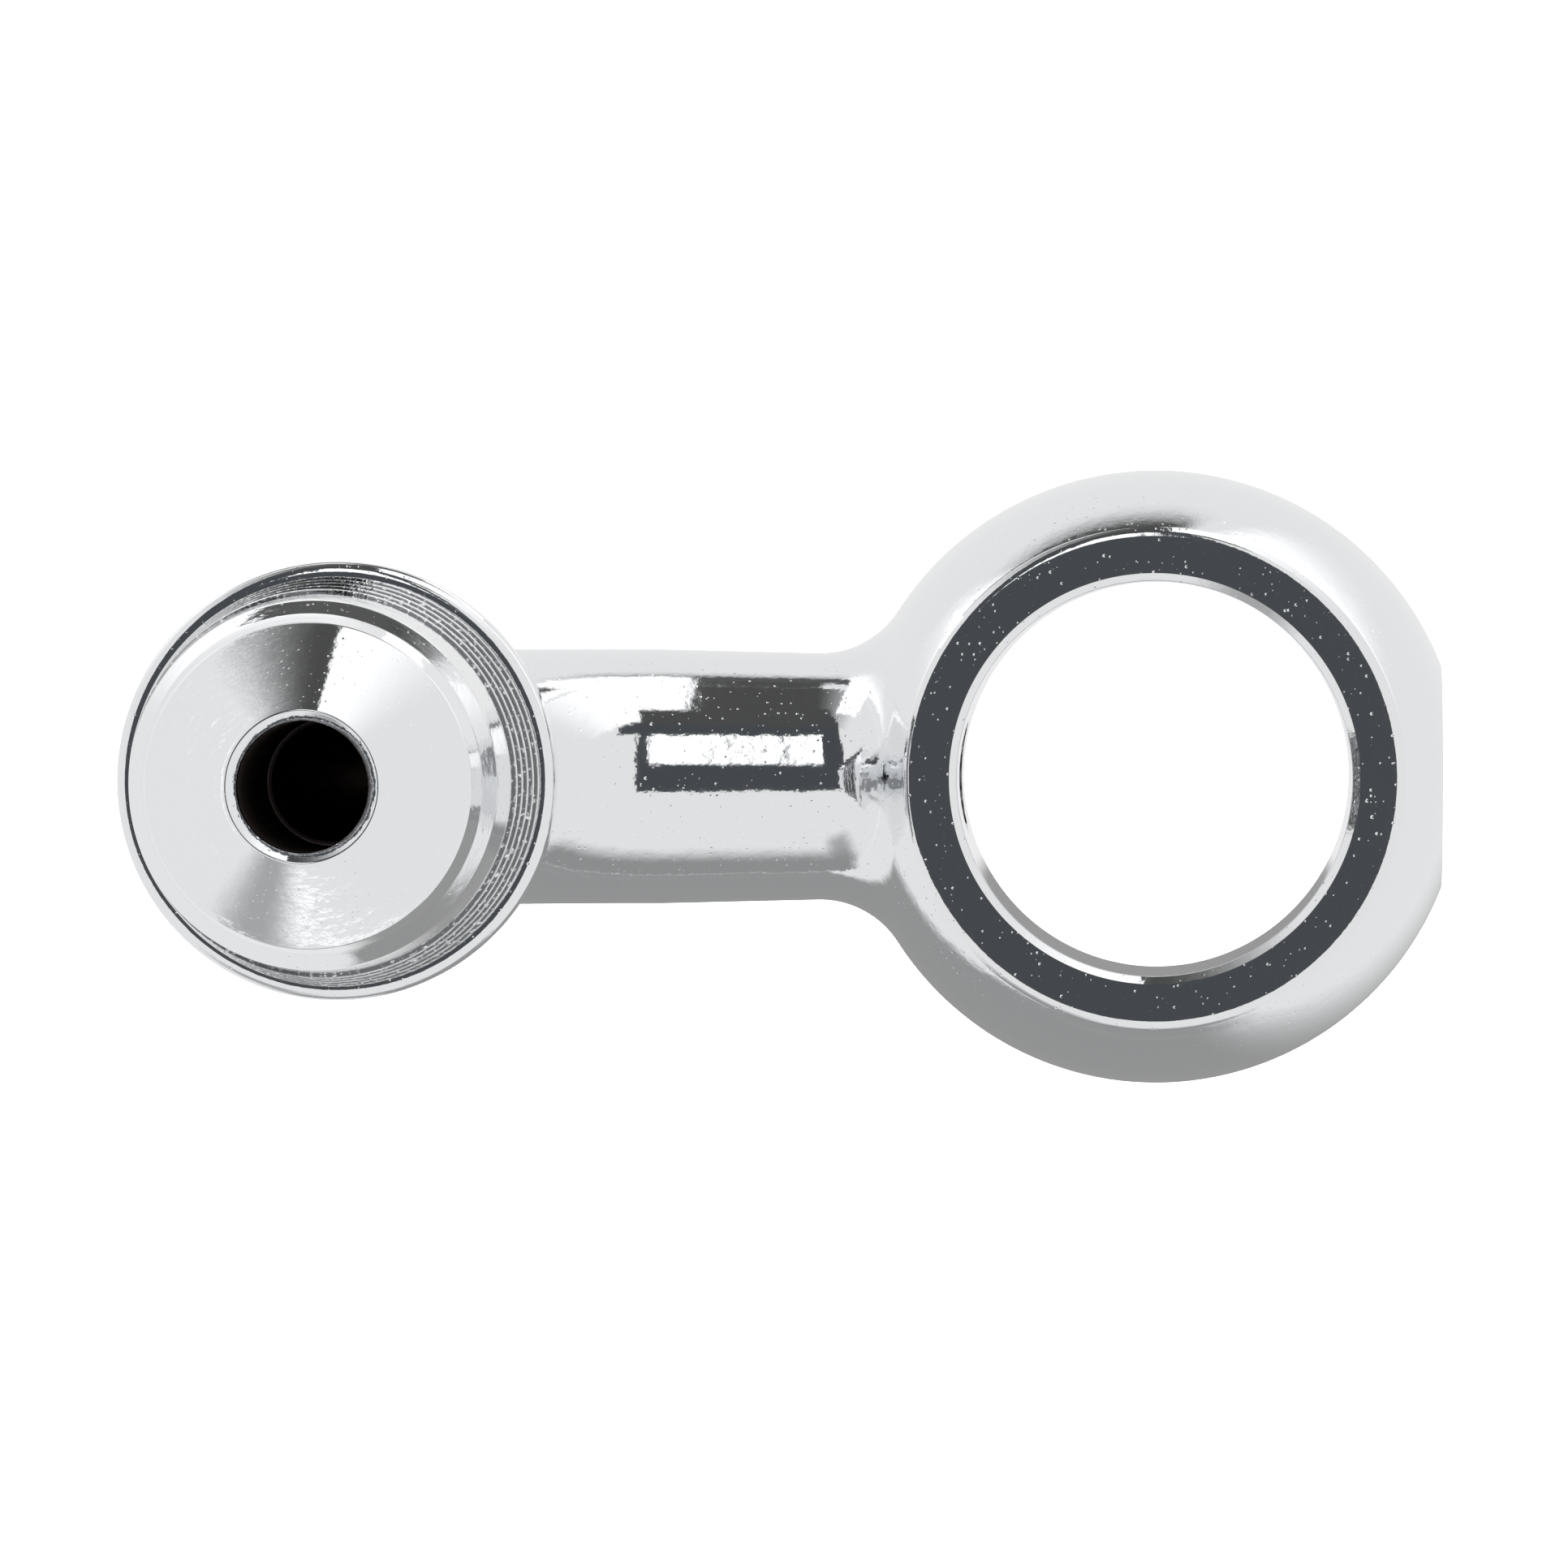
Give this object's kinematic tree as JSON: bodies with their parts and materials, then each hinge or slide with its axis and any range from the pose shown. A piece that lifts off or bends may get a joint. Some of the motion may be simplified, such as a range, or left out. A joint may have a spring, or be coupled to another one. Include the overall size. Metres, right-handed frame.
{
  "type": "banjo fitting",
  "caption": "Chrome-plated right-angle banjo fitting: a ball-shaped eye on a short neck, which bends up into a collared, threaded end with a drilled cone nose.",
  "frame": {"origin": "centre of the banjo bore, half way through the head", "axes": "+Z along the banjo bore, the way the threaded nose points; -X along the neck from the head to the threaded end; +Y completes the right-handed set"},
  "size_m": [0.0335, 0.0158, 0.0261],
  "materials": {
    "plated_head": "bright chrome plate over turned steel",
    "plated_end": "bright chrome plate over turned steel",
    "plated_braze": "bright chrome plate over a braze bead"
  },
  "bodies": {
    "root": {"banjo_head": "plated_head", "threaded_end": "plated_end", "braze_ring": "plated_braze"}
  },
  "joints": []
}
